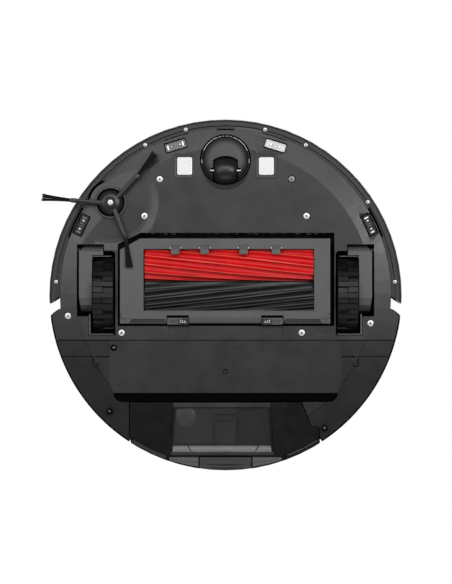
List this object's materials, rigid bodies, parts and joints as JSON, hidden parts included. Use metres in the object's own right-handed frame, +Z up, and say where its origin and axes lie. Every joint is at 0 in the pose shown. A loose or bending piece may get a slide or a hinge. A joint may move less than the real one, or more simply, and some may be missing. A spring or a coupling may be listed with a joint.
{
  "type": "robot vacuum cleaner",
  "caption": "Round floor-cleaning robot with twin rubber rollers, a three-arm side brush, sprung drive wheels, a laser turret and a slide-out dust bin.",
  "frame": {"origin": "on the floor, under the middle of the round body, with the robot standing on its wheels", "axes": "+Z up; the bumper and the caster face -Y, the dust bin slides out toward +Y; the side brush is at -X"},
  "size_m": [0.3594, 0.3535, 0.0965],
  "materials": {
    "charcoal": "satin, fine grain",
    "rear_panel": "satin",
    "shell": "satin",
    "caster_plastic": "gloss",
    "frame_grey": "satin",
    "hub_plastic": "satin",
    "black_plastic": "satin",
    "bin_plastic": "polished",
    "bin_window": "smoked, see-through",
    "gloss_black": "polished",
    "caster_wheel": "polished",
    "tyre": "matt rubber",
    "red_rubber": "satin rubber",
    "black_rubber": "satin rubber",
    "bristle": "nylon bristle",
    "contact_metal": "bright plated",
    "screw_steel": "zinc plated",
    "axle_steel": "ground",
    "circuit_board": "solder mask",
    "battery_wrap": "shrink wrap over cells",
    "filter_paper": "pleated paper",
    "button_plastic": "satin"
  },
  "bodies": {
    "chassis": {"chassis_base": "charcoal", "rear_base_plate": "rear_panel", "body_shell": "shell", "exhaust_grille": "black_plastic", "top_cover": "shell", "deck_panel": "rear_panel", "left_charging_contact": "contact_metal", "right_charging_contact": "contact_metal", "front_left_cliff_sensor": "gloss_black", "front_right_cliff_sensor": "gloss_black", "left_cliff_sensor": "gloss_black", "right_cliff_sensor": "gloss_black", "chassis_screw_1": "screw_steel", "chassis_screw_2": "screw_steel", "chassis_screw_3": "screw_steel", "chassis_screw_4": "screw_steel", "chassis_screw_5": "screw_steel", "chassis_screw_6": "screw_steel", "chassis_screw_7": "screw_steel", "chassis_screw_8": "screw_steel", "battery_pack": "battery_wrap", "main_board": "circuit_board", "suction_fan": "black_plastic", "suction_duct": "black_plastic", "side_brush_motor": "black_plastic", "lidar_base": "black_plastic"},
    "bumper": {"bumper_shell": "shell", "bumper_ir_window": "gloss_black"},
    "caster": {"caster_fork": "caster_plastic", "caster_axle": "axle_steel"},
    "caster_roller": {"caster_wheel": "caster_wheel"},
    "left_drive": {"left_gearbox": "frame_grey"},
    "left_wheel": {"left_wheel_hub": "hub_plastic", "left_tyre": "tyre"},
    "right_drive": {"right_gearbox": "frame_grey"},
    "right_wheel": {"right_wheel_hub": "hub_plastic", "right_tyre": "tyre"},
    "side_brush": {"side_brush_hub": "hub_plastic", "side_brush_screw": "screw_steel", "side_brush_tuft_1": "bristle", "side_brush_tuft_2": "bristle", "side_brush_tuft_3": "bristle"},
    "brush_head": {"brush_chamber": "black_plastic", "brush_guard": "frame_grey", "roller_motor": "black_plastic"},
    "left_latch": {"left_guard_latch": "frame_grey"},
    "right_latch": {"right_guard_latch": "frame_grey"},
    "front_brush": {"front_roller": "red_rubber"},
    "rear_brush": {"rear_roller": "black_rubber"},
    "dustbin": {"dustbin_body": "bin_plastic", "dustbin_window": "bin_window", "bin_filter": "filter_paper"},
    "release_button": {"bin_release_button": "frame_grey"},
    "lidar_rotor": {"lidar_rotor": "gloss_black"},
    "lidar_cap": {"lidar_cap": "shell"},
    "power_button": {"power_button": "button_plastic"},
    "dock_button": {"dock_button": "button_plastic"},
    "spot_button": {"spot_button": "button_plastic"}
  },
  "joints": [
    {"name": "bumper_travel", "type": "slide", "parent": "chassis", "child": "bumper", "axis": [0, 1, 0], "range_m": [0, 0.003], "stiffness_N_per_m": 900, "springref_m": -0.002},
    {"name": "caster_swivel", "type": "hinge", "parent": "chassis", "child": "caster", "pos_m": [0, -0.1347, 0.02], "axis": [0, 0, 1], "continuous": true},
    {"name": "caster_wheel_spin", "type": "hinge", "parent": "caster", "child": "caster_roller", "pos_m": [0, -0.1238, 0.0135], "axis": [1, 0, 0], "continuous": true},
    {"name": "left_suspension", "type": "hinge", "parent": "chassis", "child": "left_drive", "pos_m": [-0.136, -0.044, 0.025], "axis": [-1, 0, 0], "range_deg": [0, 18], "stiffness_Nm_per_rad": 0.3, "springref_deg": 51.57},
    {"name": "left_wheel_spin", "type": "hinge", "parent": "left_drive", "child": "left_wheel", "pos_m": [-0.1228, 0.0012, 0.0365], "axis": [1, 0, 0], "continuous": true},
    {"name": "right_suspension", "type": "hinge", "parent": "chassis", "child": "right_drive", "pos_m": [0.136, -0.044, 0.025], "axis": [-1, 0, 0], "range_deg": [0, 18], "stiffness_Nm_per_rad": 0.3, "springref_deg": 51.57},
    {"name": "right_wheel_spin", "type": "hinge", "parent": "right_drive", "child": "right_wheel", "pos_m": [0.1228, 0.0012, 0.0365], "axis": [1, 0, 0], "continuous": true},
    {"name": "side_brush_spin", "type": "hinge", "parent": "chassis", "child": "side_brush", "pos_m": [-0.1152, -0.0917, 0.009], "axis": [0, 0, 1], "continuous": true},
    {"name": "brush_head_float", "type": "slide", "parent": "chassis", "child": "brush_head", "axis": [0, 0, 1], "range_m": [0, 0.004]},
    {"name": "front_roller_spin", "type": "hinge", "parent": "brush_head", "child": "front_brush", "pos_m": [0, -0.03, 0.0186], "axis": [1, 0, 0], "continuous": true},
    {"name": "rear_roller_spin", "type": "hinge", "parent": "brush_head", "child": "rear_brush", "pos_m": [0, 0.004, 0.0186], "axis": [1, 0, 0], "continuous": true},
    {"name": "left_latch_slide", "type": "slide", "parent": "brush_head", "child": "left_latch", "axis": [0, -1, 0], "range_m": [0, 0.002], "stiffness_N_per_m": 400, "springref_m": -0.001},
    {"name": "right_latch_slide", "type": "slide", "parent": "brush_head", "child": "right_latch", "axis": [0, -1, 0], "range_m": [0, 0.002], "stiffness_N_per_m": 400, "springref_m": -0.001},
    {"name": "dustbin_slide", "type": "slide", "parent": "chassis", "child": "dustbin", "axis": [0, 1, 0], "range_m": [0, 0.075]},
    {"name": "release_button_press", "type": "slide", "parent": "dustbin", "child": "release_button", "axis": [0, -1, 0], "range_m": [0, 0.0013], "stiffness_N_per_m": 1200, "springref_m": -0.0005},
    {"name": "lidar_spin", "type": "hinge", "parent": "chassis", "child": "lidar_rotor", "pos_m": [0, 0.038, 0.087], "axis": [0, 0, 1], "continuous": true},
    {"name": "lidar_cap_press", "type": "slide", "parent": "chassis", "child": "lidar_cap", "axis": [0, 0, -1], "range_m": [0, 0.0014], "stiffness_N_per_m": 2000, "springref_m": -0.0006},
    {"name": "power_button_press", "type": "slide", "parent": "chassis", "child": "power_button", "axis": [0, 0, -1], "range_m": [0, 0.0006], "stiffness_N_per_m": 1500, "springref_m": -0.0003},
    {"name": "dock_button_press", "type": "slide", "parent": "chassis", "child": "dock_button", "axis": [0, 0, -1], "range_m": [0, 0.0006], "stiffness_N_per_m": 1500, "springref_m": -0.0003},
    {"name": "spot_button_press", "type": "slide", "parent": "chassis", "child": "spot_button", "axis": [0, 0, -1], "range_m": [0, 0.0006], "stiffness_N_per_m": 1500, "springref_m": -0.0003}
  ],
  "couplings": [
    {"joint": "rear_roller_spin", "follows": "front_roller_spin", "ratio": -1}
  ]
}
